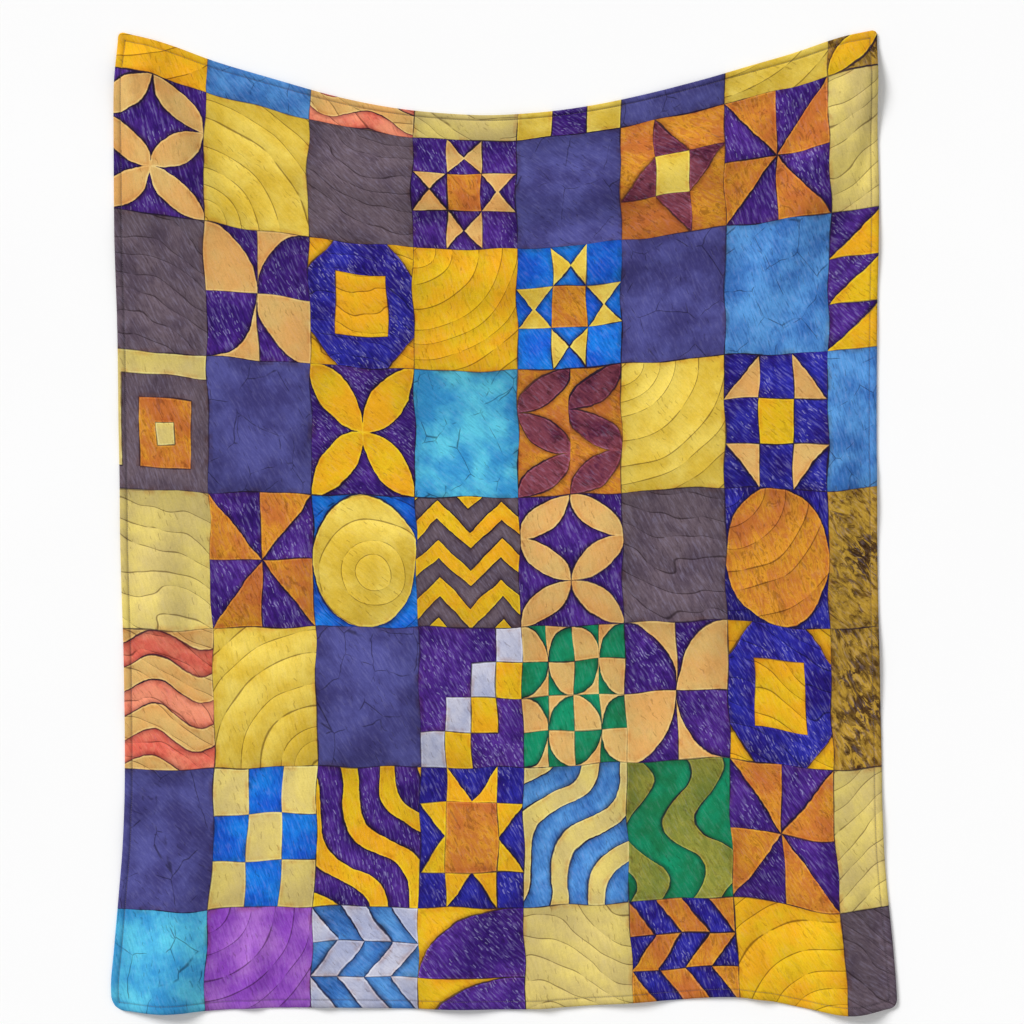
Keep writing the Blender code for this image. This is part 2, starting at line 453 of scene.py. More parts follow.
def fold_height(x, y):
    """The summed height of the folds: each a squared cosine across its bowed crest."""
    height = np.zeros_like(x)
    for start_x, start_y, end_x, end_y, bow, peak, half_width, fade_in, fade_out in FOLDS:
        run_x, run_y = end_x - start_x, end_y - start_y
        length = math.hypot(run_x, run_y)
        along = ((x - start_x) * run_x + (y - start_y) * run_y) / length**2
        inside = np.clip(along, 0, 1)
        across = ((x - start_x) * run_y - (y - start_y) * run_x) / length - 4 * bow * inside * (1 - inside)
        crest = np.cos(math.pi / 2 * np.clip(np.abs(across) / half_width, 0, 1)) ** 2
        if fade_in:
            crest = crest * smooth_step(along / fade_in)
        if fade_out:
            crest = crest * smooth_step((1 - along) / fade_out)
        height = height + peak * crest
    return height


def lie_height(x, y):
    """The underside's height: the folds and two crossed swells that never go under 0."""
    swell_x = 1 + wave(x, SWELL_LONG, 1.3 * wave(y, SWELL_LONG) + 0.7)
    swell_y = 1 + wave(y, SWELL_SHORT, 1.6 * wave(x, SWELL_LONG) + 2.1)
    return fold_height(x, y) + SWELL_HEIGHT / 2 * swell_x * swell_y


def outline_middle():
    """The middle of the box round the outline, which is where the row's origin is."""
    t = np.linspace(0, 1, 400)
    nought, one = np.zeros_like(t), np.ones_like(t)
    x, y = laid_place(np.concatenate([t, t, nought, one]), np.concatenate([nought, one, t, t]))
    return (x.max() + x.min()) / 2, (y.max() + y.min()) / 2


MIDDLE = outline_middle()


def laid_surface(share_x, share_y):
    """The underside's points and its upward normals, from its slopes across a millimetre each way."""
    x, y = laid_place(share_x, share_y)
    step = 0.001
    slope_x = (lie_height(x + step, y) - lie_height(x - step, y)) / (2 * step)
    slope_y = (lie_height(x, y + step) - lie_height(x, y - step)) / (2 * step)
    normal = np.stack([-slope_x, -slope_y, np.ones_like(x)], axis=-1)
    normal /= np.linalg.norm(normal, axis=-1, keepdims=True)
    points = np.stack([x - MIDDLE[0], y - MIDDLE[1], lie_height(x, y)], axis=-1)
    return points, normal


def edge_distances(share_x, share_y):
    """How far a point is from the nearer side edge and from the nearer end, on the flat cloth."""
    return np.minimum(share_x, 1 - share_x) * FLAT_WIDTH, np.minimum(share_y, 1 - share_y) * FLAT_LENGTH


def from_rim(share_x, share_y):
    """How far a point is from the edge, and the share of its rim's quarter round that has risen there."""
    edge = np.minimum(*edge_distances(share_x, share_y))
    return edge, np.sqrt(1 - (1 - np.clip(edge / EDGE_ROUND, 0, 1)) ** 2)


def pucker(share_x, share_y):
    """Small uneven waves along each hem, highest at its stitches: a sine whose phase wanders."""
    across, along = edge_distances(share_x, share_y)
    total = 0
    for distance, run in ((across, share_y * FLAT_LENGTH), (along, share_x * FLAT_WIDTH)):
        near = bell(distance - STITCH_LINE, PUCKER_REACH) * smooth_step(distance / PUCKER_START)
        total = total + near * wave(run, PUCKER_LENGTH, 2.4 * wave(run, PUCKER_DRIFT))
    return PUCKER_HEIGHT * total


def face_rise(share_x, share_y):
    """The face's height over the underside: half a hem at the rim, rounding up to the hem's crown, a groove
    at the stitches, a little puff past them, and then the fleece's own thickness."""
    edge, rounding = from_rim(share_x, share_y)
    past_hem = smooth_step((edge - STITCH_LINE) / HEM_STEP)
    thickness = HEM_THICKNESS + (FLEECE_THICKNESS - HEM_THICKNESS) * past_hem
    crown = HEM_CROWN * np.sin(math.pi * np.clip((edge - CROWN_START) / CROWN_WIDTH, 0, 1))
    groove = STITCH_GROOVE * bell(edge - STITCH_LINE, GROOVE_HALF_WIDTH)
    puff = PUFF_HEIGHT * bell(edge - PUFF_PLACE, PUFF_HALF_WIDTH)
    above_rim = thickness - HEM_THICKNESS / 2 + crown - groove + puff + pucker(share_x, share_y)
    return HEM_THICKNESS / 2 + above_rim * rounding


def back_rise(share_x, share_y):
    """The back's height over the underside: it meets the face at the rim, and its stitches draw it in."""
    edge, rounding = from_rim(share_x, share_y)
    return HEM_THICKNESS / 2 * (1 - rounding) + BACK_GROOVE * bell(edge - STITCH_LINE, GROOVE_HALF_WIDTH)


def mesh_lines(size, block, cut):
    """Shares of one side at which the mesh has a line: close ones over each hem, and between them a block's
    even cells, which start as far off the cloth as the cut takes."""
    cell = block / CELLS_PER_BLOCK
    even = np.arange(math.ceil(cut / cell), int((cut + size) / cell) + 1) * cell - cut
    field = even[(even > HEM_KEEP) & (size - even > HEM_KEEP)] / size
    hem = np.array(HEM_LINES) / size
    return np.concatenate([[0.0], hem, field, 1 - hem[::-1], [1.0]])


def strayed(share_x, share_y):
    """Where the cloth is under a point of the print: a few millimetres away, but not at the hems."""
    inner = smooth_step((from_rim(share_x, share_y)[0] - HEM_KEEP) / STRAY_START)
    x, y = share_x * FLAT_WIDTH, share_y * FLAT_LENGTH
    shift_x = wave(y, STRAY_LONG, 1.9 * wave(x, STRAY_LONG)) + SHORT_SHARE * wave(y, STRAY_SHORT, 5.0 * x)
    shift_y = wave(x, STRAY_LONG, 2.3 * wave(y, STRAY_LONG) + 1.0)
    shift_y += SHORT_SHARE * wave(x, STRAY_SHORT, 6.0 * y + 2.0)
    return share_x + STRAY * inner * shift_x / FLAT_WIDTH, share_y + STRAY * inner * shift_y / FLAT_LENGTH


# The inks: each has the colour that most of a patch shows, the one that it drifts to, and how it is laid on.
# Hatch is how strong its brush strokes are, and grain is how busy its mottling.
INKS = {
    # name: base, wash, hatch, grain
    "violet": ((52, 18, 112), (82, 42, 142), 0.95, 0.16),
    "indigo": ((36, 18, 122), (42, 42, 162), 0.95, 0.16),
    "navy": ((62, 58, 118), (82, 82, 148), 0.30, 0.05),
    "cornflower": ((56, 114, 190), (90, 156, 222), 0.60, 0.10),
    "royal": ((16, 88, 210), (22, 126, 226), 0.55, 0.15),
    "gold": ((234, 191, 26), (232, 166, 24), 0.20, 0.26),
    "amber": ((226, 154, 40), (190, 106, 46), 0.28, 0.60),
    "lemon": ((227, 190, 60), (235, 207, 92), 0.18, 0.12),
    "cream": ((215, 193, 120), (227, 205, 112), 0.18, 0.08),
    "peach": ((224, 184, 110), (222, 166, 94), 0.18, 0.16),
    "taupe": ((110, 94, 104), (84, 70, 84), 0.55, 0.16),
    "bark": ((82, 56, 24), (190, 150, 52), 0.50, 1.00),
    "olive": ((156, 154, 62), (108, 120, 48), 0.34, 0.40),
    "green": ((14, 150, 106), (22, 114, 70), 0.26, 0.14),
    "coral": ((228, 102, 84), (240, 148, 114), 0.24, 0.30),
    "plum": ((90, 32, 62), (130, 64, 78), 0.55, 0.70),
    "mauve": ((136, 66, 184), (164, 104, 196), 0.45, 0.10),
    "sky": ((52, 148, 208), (92, 198, 224), 0.35, 0.06),
    "mist": ((168, 174, 204), (196, 196, 212), 0.26, 0.15),
}

# The small pieces of a block's chart: a letter for each, and how its shape is turned.
# Digits are half squares, filled at one corner. Letters a to d are quarter rounds, B and D their outsides.
PIECES = {
    # letter: shape, mirrored across, mirrored along, filled inside
    ".": ("whole", 0, 0, -1),
    "#": ("whole", 0, 0, 1),
    "o": ("whole", 0, 0, 1),
    "1": ("half", 0, 0, 1),
    "2": ("half", 1, 0, 1),
    "3": ("half", 1, 1, 1),
    "4": ("half", 0, 1, 1),
    "a": ("round", 0, 0, 1),
    "b": ("round", 1, 0, 1),
    "c": ("round", 1, 1, 1),
    "d": ("round", 0, 1, 1),
    "B": ("round", 1, 0, -1),
    "D": ("round", 0, 1, -1),
    "p": ("petal", 0, 0, 1),
    "q": ("petal", 1, 0, 1),
}

# The pieces' shapes, and which of them fill their near sides and their far sides.
SHAPES = ("whole", "half", "round", "petal", "ribbon")
FILLS_NEAR = (True, True, True, False, False)
FILLS_FAR = (True, False, False, False, False)

# Traditional blocks, charted a row to a string from the top. Every side divides a block's mesh cells.
CHARTS = {
    "plain": (".",),
    "nine_patch": ("#.#", ".#.", "#.#"),
    "pinwheel": ("32", "41"),
    "geese": ("21", "21", "21"),
    "drunkards_path": ("aB", "Dc"),
    "winding_path": ("aBaB", "DcDc", "aBaB", "DcDc"),
    "petals": ("pq", "qp", "pq"),
    "flower": ("qp", "pq"),
    "sawtooth_star": (".12.", "3oo4", "2oo1", ".43."),
    "turning_star": (".1.", "2o4", ".3."),
    "ohio_star": ("..12..", "..43..", "34oo34", "21oo21", "..12..", "..43.."),
    "shoo_fly": ("2.1", ".o.", "3.4"),
    "steps": ("...o", "..o#", ".o#.", "o#.."),
    "churn_dash": ("2##1", "#..#", "#..#", "3##4"),
    "broken_dishes": ("1313", "2424", "1313", "2424"),
    "log_cabin": ("oooooo", "o.....", "o.###.", "o.#o#.", "o.###.", "......"),
    "moons": ("ba", "cd"),
    "fans": ("b", "b"),
    "leaves": ("pp", "qq", "pp"),
}

# Ribbons are stripes that run right across a block.
RIBBONS = {
    # name: turn in degrees, spacing, filled share, sway as a share of the spacing, sway length, pointed
    "river": (8, 0.120, 0.46, 0.26, 0.16, 0),
    "streams": (-34, 0.074, 0.44, 0.30, 0.21, 0),
    "waves": (86, 0.078, 0.48, 0.20, 0.15, 0),
    "zigzag": (90, 0.066, 0.46, 0.40, 0.106, 1),
}
NO_RIBBON = (0, 1, 0, 0, 1, 0)

# Each block's design: its chart or ribbons, its quilting, and its inks for ground, figure and second figure.
# An ink that isn't given is the one before it.
DESIGNS = {
    # letter: pattern, quilted lines, inks
    "A": ("plain", "crackle", "navy"),
    "B": ("plain", "crackle", "cornflower"),
    "C": ("plain", "waves", "cream"),
    "D": ("plain", "arcs", "lemon"),
    "E": ("plain", "waves", "taupe"),
    "F": ("nine_patch", "none", "royal", "cream"),
    "G": ("geese", "none", "violet", "gold"),
    "H": ("sawtooth_star", "none", "indigo", "gold", "amber"),
    "I": ("drunkards_path", "none", "violet", "peach"),
    "J": ("moons", "rings", "royal", "lemon"),
    "K": ("pinwheel", "none", "violet", "amber"),
    "L": ("shoo_fly", "none", "indigo", "peach", "gold"),
    "M": ("winding_path", "none", "green", "peach"),
    "N": ("petals", "none", "violet", "peach"),
    "O": ("zigzag", "none", "taupe", "gold"),
    "P": ("waves", "waves", "coral", "peach"),
    "Q": ("ohio_star", "none", "royal", "lemon", "amber"),
    "R": ("turning_star", "none", "amber", "plum", "lemon"),
    "S": ("plain", "none", "bark"),
    "T": ("flower", "none", "violet", "gold"),
    "U": ("broken_dishes", "none", "cornflower", "mist"),
    "V": ("leaves", "none", "amber", "plum"),
    "W": ("ohio_star", "none", "violet", "peach", "amber"),
    "X": ("churn_dash", "waves", "gold", "indigo"),
    "Y": ("log_cabin", "none", "taupe", "amber", "cream"),
    "a": ("plain", "arcs", "gold"),
    "b": ("river", "none", "green", "olive"),
    "c": ("moons", "arcs", "indigo", "amber"),
    "d": ("streams", "none", "violet", "gold"),
    "e": ("steps", "none", "violet", "gold", "mist"),
    "f": ("plain", "arcs", "mauve"),
    "g": ("leaves", "none", "bark", "gold"),
    "h": ("plain", "crackle", "sky"),
    "i": ("fans", "none", "gold", "violet"),
    "j": ("broken_dishes", "none", "indigo", "amber"),
    "k": ("nine_patch", "none", "violet", "lemon"),
    "l": ("streams", "none", "cornflower", "cream"),
}

# Where each design goes, from the top row down. A dash after a letter mirrors that block. The cloth is cut
# through the outer blocks.
LAYOUT = (
    "a B P C k A D g",
    "N D E W A R K C-",
    "E I X a Q A B G-",
    "Y A T h V D L B-",
    "C K- J O N- E c S",
    "P D- A e M I- X S-",
    "A F d- H l b K C-",
    "h f U i C j a- E",
)

# The printed quilting: its lines' spacing, its waves' length and slope, its rings' middle in a block, and the
# scale of its crackle. Arcs have their middle at a corner, which is a top one in half of the blocks.
QUILTING = ("waves", "arcs", "crackle", "rings")
LINE_SPACING = 0.034
QUILT_WAVE = 0.24
WAVE_SLOPE = 0.35
RINGS_CENTRE = (0.58, 0.40)
RINGS_RUN = 0.3
CRACKLE_CELLS = 15.0

# How deep inside its figure or its ground a whole piece counts as being.
WHOLE_DEPTH = 0.05

# What makes each patch's strokes its own: steps for its design and its block.
SEED_STEPS = (7.31, 3.7, 5.9)

# The tints that deepen an ink, and the pale ones of its strokes and ticks.
DAPPLE_TINT = (0.26, 0.18, 0.13, 1.0)
STROKE_TINT = (0.40, 0.36, 0.48, 1.0)
STROKE_PALE = (0.60, 0.58, 0.92, 1.0)
TICK_PALE = (0.62, 0.60, 0.94, 1.0)
SHADE_TINT = (0.30, 0.26, 0.34, 1.0)
BURN_TINT = (0.80, 0.50, 0.34, 1.0)
QUILT_TINT = (0.22, 0.17, 0.17, 1.0)
OUTLINE_INK = (28, 14, 38)
BACK_INKS = ((232, 228, 219), (222, 217, 206))

# The pen ticks: how far their rows wander, and the pitch, length, thickness and share of both kinds.
TICK_WANDER = 0.020
PALE_TICKS = (0.0048, 0.0110, 0.28, 0.46)
DARK_TICKS = (0.0080, 0.0165, 0.15, 0.34)

# How far a patch's edge wobbles, the half width of its outline's soft edge, and the distances from that edge
# at which the shade outside it, the burn inside it and the pale rim end and are full.
WOBBLE = 0.012
OUTLINE_SOFT = 0.0007
SHADE_REACH = (-0.0110, -0.0010)
BURN_REACH = (0.0110, 0.0015)
RIM_REACH = (0.0034, 0.0016)

# How strongly each layer of the print shows: an ink's dapples, strokes and ticks, and over them the shade,
# the burn, the quilting's tone and lines, and the pale rim.
DAPPLES_SHOW = 0.80
PALE_STROKES_SHOW = 0.156
DARK_STROKES_SHOW = 0.76
PALE_TICKS_SHOW = 0.285
DARK_TICKS_SHOW = 0.42
SHADE_SHOWS = 0.55
BURN_SHOWS = 0.55
TONE_SHOWS = 0.20
LINES_SHOW = 0.80
RIM_SHOWS = 0.62

# An ink's pools, in waves a metre, and its swirls and brush strokes along and across their lean.
POOL_WAVES = 14.0
SWIRL_WAVES = (30.0, 64.0)
BRUSH_WAVES = (58.0, 310.0)

# The pile's tufts, fibres and clouds, in waves a metre.
TUFT_WAVES = 330.0
FIBRE_WAVES = 1150.0
CLOUD_WAVES = 45.0

# How much painted shade darkens the cloth's colour in its stitched groove and on its hem, as shares.
GROOVE_PAINTED_SHADE = 0.22
HEM_PAINTED_SHADE = 0.08

# The pile's finish on the face and on the back: least roughness, its spread, bump strength and depth.
PRINTED_FINISH = (0.83, 0.10, 0.55, 0.0008)
PLAIN_FINISH = (0.86, 0.08, 0.65, 0.0009)


def in_blocks(share_x, share_y):
    """A place on the cut, in shares of it, counted in the print's blocks from the left and the bottom."""
    x, y = share_x * FLAT_WIDTH + CUT_LEFT, share_y * FLAT_LENGTH + CUT_BOTTOM
    return x / BLOCK_WIDTH, y / BLOCK_LENGTH


def face_middles(lines):
    """The middles between mesh lines."""
    return (lines[1:] + lines[:-1]) / 2


def printed_cells():
    """The whole print on its finest grid, from the bottom up: for each cell its piece, its design, whether
    its block is mirrored, and how many pieces its chart has across and along."""
    rows = []
    for line in reversed(LAYOUT):
        blocks = []
        for place in line.split():
            mirrored = place.endswith("-")
            chart = CHARTS.get(DESIGNS[place[0]][0], CHARTS["plain"])
            numbers = np.array([[list(PIECES).index(mark) for mark in row] for row in reversed(chart)])
            if mirrored:
                numbers = numbers[:, ::-1]
            along, across = numbers.shape
            piece = np.kron(numbers, np.ones((CELLS_PER_BLOCK // along, CELLS_PER_BLOCK // across), int))
            facts = (list(DESIGNS).index(place[0]), mirrored, across, along)
            blocks.append(np.stack([piece] + [np.full_like(piece, fact) for fact in facts]))
        rows.append(np.concatenate(blocks, axis=2))
    return np.concatenate(rows, axis=1)


def linear(colour):
    """A colour given as screen values from 0 to 255, as the linear light that a shader takes."""
    screen = np.array(colour) / 255.0
    light = np.where(screen <= 0.04045, screen / 12.92, ((screen + 0.055) / 1.055) ** 2.4)
    return (*light.tolist(), 1.0)


def looked_up(table, numbers):
    """The columns of a table, each as its values at an array of row numbers."""
    return np.moveaxis(np.array(table)[numbers], -1, 0)


def ink_colours(part):
    """Each ink's base with its hatch as the fourth number, or its wash with its grain."""
    return [(*linear(ink[part])[:3], ink[2 + part]) for ink in INKS.values()]


def seams(block, cell, near_ink, far_ink):
    """Which faces along the rows have a seam on their near side, and which on their far side: where a block
    ends, and where two pieces of a block meet in different inks."""
    new_block, new_piece = block[:, 1:] != block[:, :-1], cell[:, 1:] != cell[:, :-1]
    seam = new_block | (new_piece & (far_ink[:, :-1] != near_ink[:, 1:]))
    return [np.pad(seam, ((0, 0), side)) for side in ((1, 0), (0, 1))]


def print_facts(lines_x, lines_y):
    """What is printed on each face of the sheet. By face, in fours: its inks, its piece and which of its
    sides are seams. By corner, in pairs: its place on the print, in its piece and among the quilted lines."""
    middle_x, middle_y = in_blocks(face_middles(lines_x), face_middles(lines_y))
    column, row = ((middle * CELLS_PER_BLOCK).astype(int) for middle in (middle_x, middle_y))
    piece, design, mirrored, across, along = printed_cells()[:, row[:, None], column]
    middle_x, middle_y = np.meshgrid(middle_x, middle_y)
    block_x, block_y = np.floor(middle_x), np.floor(middle_y)
    cell_x, cell_y = np.floor(middle_x * across), np.floor(middle_y * along)

    patterns, quilting, inks = zip(*((pattern, lines, inks) for pattern, lines, *inks in DESIGNS.values()))
    quilting = np.array(quilting)[design]
    ribbons = [RIBBONS.get(pattern, NO_RIBBON) for pattern in patterns]
    turn, spacing, filled, sway, sway_length, pointed = looked_up(ribbons, design)
    shapes = [(SHAPES.index(name), *facts) for name, *facts in PIECES.values()]
    shape, flip_x, flip_y, sign = looked_up(shapes, piece)
    is_ribbon = np.isin(patterns, list(RIBBONS))[design]
    shape = np.where(is_ribbon, SHAPES.index("ribbon"), shape)
    sign = np.where(is_ribbon, 1, sign)
    flips = (flip_x ^ mirrored, flip_y)

    inks = [[list(INKS).index(ink) for ink in (given + given[-1:] * 2)[:3]] for given in inks]
    ground, figure, second = looked_up(inks, design)
    figure = np.where(piece == list(PIECES).index("o"), second, figure)
    near, far = (
        np.where(np.array(fills)[shape] == (sign > 0), figure, ground) for fills in (FILLS_NEAR, FILLS_FAR)
    )
    (left, right), (below, above) = (
        [np.where(flip == turned_over, near, far) for turned_over in (0, 1)] for flip in flips
    )

    corner_x, corner_y = (face_corners(grid) for grid in np.meshgrid(*in_blocks(lines_x, lines_y)))
    x, y = corner_x * BLOCK_WIDTH, corner_y * BLOCK_LENGTH
    u, v = corner_x * across - cell_x, corner_y * along - cell_y
    u, v = (np.where(flip == 1, 1 - place, place) for flip, place in zip(flips, (u, v)))
    side = np.where(mirrored == 1, -1, 1)
    turn = np.radians(turn) * side
    u = np.where(is_ribbon, (x * np.cos(turn) + y * np.sin(turn)) / spacing, u)
    v = np.where(is_ribbon, (y * np.cos(turn) - x * np.sin(turn)) / sway_length, v)

    waves, rings = quilting == "waves", quilting == "rings"
    at_top = (block_x + block_y // 2) % 2
    from_x = x - (block_x + np.where(rings, RINGS_CENTRE[0], mirrored)) * BLOCK_WIDTH
    from_y = y - (block_y + np.where(rings, RINGS_CENTRE[1], at_top)) * BLOCK_LENGTH
    line_reach = np.where(waves, from_y + WAVE_SLOPE * side * from_x, np.hypot(from_x, from_y))
    line_run = np.where(waves, x / QUILT_WAVE, RINGS_RUN)

    seed = sum(step * part for step, part in zip(SEED_STEPS, (design, block_x, block_y)))
    by_face = {
        "piece": [shape == number for number in range(1, len(SHAPES))],
        "piece_size": [BLOCK_WIDTH / across, BLOCK_LENGTH / along, seed, sign],
        "ribbon": [spacing, filled / 2, sway, pointed],
        "lines": [quilting == name for name in QUILTING],
        "sides": seams(block_x, cell_x, left, right)
        + [level.T for level in seams(block_y.T, cell_y.T, below.T, above.T)],
    }
    for name, ink in (("ground", ground), ("figure", figure)):
        by_face[name], by_face[name + "_wash"] = (looked_up(ink_colours(part), ink) for part in (0, 1))
    line_place = (line_reach / LINE_SPACING, line_run)
    return by_face, {"print_place": (x, y), "piece_place": (u, v), "line_place": line_place}


def throw_mesh():
    """The whole throw as one closed mesh: a face sheet and a back sheet on one grid of lines, which share
    the rim's points. The face is the laid surface plus the face's rise along its normal, and the back is the
    laid surface plus the back's rise straight up."""
    lines_x = mesh_lines(FLAT_WIDTH, BLOCK_WIDTH, CUT_LEFT)
    lines_y = mesh_lines(FLAT_LENGTH, BLOCK_LENGTH, CUT_BOTTOM)
    share_x, share_y = np.meshgrid(lines_x, lines_y)
    surface, normal = laid_surface(*strayed(share_x, share_y))
    face = surface + normal * face_rise(share_x, share_y)[..., None]
    back = surface + np.array([0, 0, 1]) * back_rise(share_x, share_y)[..., None]

    number = np.arange(share_x.size).reshape(share_x.shape)
    inner = np.zeros(share_x.shape, bool)
    inner[1:-1, 1:-1] = True
    back_number = np.where(inner, share_x.size + np.cumsum(inner).reshape(inner.shape) - 1, number)
    quads = [face_corners(grid).reshape(4, -1).T for grid in (number, back_number)]
    backwards = [0, 3, 2, 1]
    points = np.concatenate([face.reshape(-1, 3), back[inner]])
    mesh = new_mesh("throw_sheet", points, np.concatenate([quads[0], quads[1][:, backwards]]))

    by_face, by_corner = print_facts(lines_x, lines_y)
    for name, values in by_face.items():
        both = np.tile(np.stack(values).reshape(4, -1).T, (2, 1)).astype(np.float32)
        mesh.attributes.new(name, "FLOAT_COLOR", "FACE").data.foreach_set("color", both.ravel())
    for name, values in by_corner.items():
        corners = np.stack(values).reshape(2, 4, -1).T
        both = np.concatenate([corners, corners[:, backwards]]).astype(np.float32)
        mesh.uv_layers.new(name=name).data.foreach_set("uv", both.ravel())

    edge, _ = from_rim(*np.meshgrid(face_middles(lines_x), face_middles(lines_y)))
    finish = np.concatenate([np.zeros(edge.size), (edge > HEM_WIDTH).ravel()])
    mesh.polygons.foreach_set("material_index", finish.astype(np.int32))
    mesh.shade_smooth()
    return mesh


def rise(value, start, end):
    """0 at the start and 1 at the end, with a smooth step between. A start over the end makes it fall."""
    return add_node("MapRange", value, start, end, interpolation_type="SMOOTHSTEP")["Result"]


def scaled(colour, amount):
    """A colour times a number."""
    return add_node("VectorMath", colour, None, None, amount, operation="SCALE")["Vector"]


def fraction(value):
    """What is left of a number past the last whole one."""
    return maths("FRACT", value)


def least(first, *others):
    """The least of some numbers."""
    for other in others:
        first = maths("MINIMUM", first, other)
    return first


def hypotenuse(a, b):
    """The root of the sum of two squares."""
    return maths("SQRT", a * a + b * b)


def joined(x, y, z):
    """Three numbers as a vector."""
    return add_node("CombineXYZ", x, y, z)["Vector"]


def parted(vector):
    """A vector's three numbers."""
    return add_node("SeparateXYZ", vector).values()


def attribute(tree, name):
    """A mesh attribute's colour, and its fourth number."""
    outputs = add_node("Attribute", tree=tree, attribute_name=name)
    return outputs["Color"], outputs["Alpha"]


def uv_place(tree, name):
    """The place that one of the sheet's UV maps gives."""
    return add_node("UVMap", tree=tree, uv_map=name)["UV"]


def new_group(name, inputs, outputs):
    """A node group with named sockets: its inputs as wires by name, and its output sockets."""
    tree = bpy.data.node_groups.new(name, "ShaderNodeTree")
    for in_out, sockets in (("INPUT", inputs), ("OUTPUT", outputs)):
        for socket, kind in sockets.items():
            tree.interface.new_socket(socket, in_out=in_out, socket_type="NodeSocket" + kind)
    given = {socket.name: Wire(socket) for socket in tree.nodes.new("NodeGroupInput").outputs}
    return tree, given, tree.nodes.new("NodeGroupOutput").inputs


def fleece_pile_group():
    """Short brushed pile: its height, of coarse tufts plus fine fibres, and a factor about 1 on the colour,
    lighter where the same tufts and fibres stand higher.
    """
    tree, given, made = new_group("fleece_pile", {"Place": "Vector"}, {"Height": "Float", "HeightTone": "Float"})
    place = given["Place"]
    x, y, _ = parted(place)
    tufts = noise(place, TUFT_WAVES, 2.0, 0.6)
    fibres = noise(joined(x, y * 0.45, 0.0), FIBRE_WAVES, 2.0, 0.7, 0.6)
    clouds = noise(place, CLOUD_WAVES)
    plug(made["Height"], tufts * 0.55 + fibres * 0.45)
    plug(made["HeightTone"], tufts * 0.22 + fibres * 0.40 + clouds * 0.06 + 0.66)
    return tree


def add_pile(inputs, pile, place, colour, shade, smoothest, spread, strength, depth):
    """Finishes a fleece: the pile's tone, times the given shade factor, goes into its colour, and its height
    into roughness and bump.
    """
    made = add_node("Group", place, node_tree=pile)
    plug(inputs["Base Color"], scaled(colour, made["HeightTone"] * shade))
    plug(inputs["Roughness"], made["Height"] * spread + smoothest)
    plug(inputs["Normal"], add_node("Bump", strength, depth, None, made["Height"])["Normal"])


def turned(x, y, lean):
    """A place measured along a lean and across it."""
    cosine, sine = maths("COSINE", lean), maths("SINE", lean)
    return x * cosine + y * sine, y * cosine - x * sine


def chance(x, y, z):
    """A number from 0 to 1 for each whole place, even and unlike its neighbours'."""
    return add_node("TexWhiteNoise", joined(x, y, z), noise_dimensions="3D")["Value"]


def pen_ticks_group():
    """Short pen ticks in clusters along wandering rows. A row is a pitch wide and shifted by its own chance,
    and a tick fills part of each length along it that has a high enough chance of its own."""
    names = ("Seed", "Lean", "Pitch", "Length", "Thickness", "Share")
    inputs = {"Place": "Vector", **dict.fromkeys(names, "Float")}
    tree, given, made = new_group("pen_ticks", inputs, {"Mask": "Float"})
    seed, lean, pitch, length, thickness, share = (given[name] for name in names)
    x, y, _ = parted(given["Place"])
    seeded = joined(x, y, seed)
    along, across = turned(x, y, lean)
    across = (across + (noise(seeded, 24.0, 3.0, 0.7) - 0.5) * TICK_WANDER) / pitch
    row = maths("FLOOR", across)
    count = along / length + chance(row, seed, 1.0) * 9.7
    own = chance(row, seed, maths("FLOOR", count))
    clusters = rise(noise(seeded, 19.0), 0.40, 0.60) * share
    kept = rise(own, 1.0 - clusters, 1.04 - clusters)
    end = fraction(own * 37.0) * 0.24 + 0.14
    lengthways = rise(abs(fraction(count) - 0.5), end + 0.10, end - 0.06)
    half = thickness * 0.5
    sideways = rise(abs(fraction(across) - 0.5), half + 0.08, half - 0.06)
    plug(made["Mask"], lengthways * sideways * kept)
    return tree


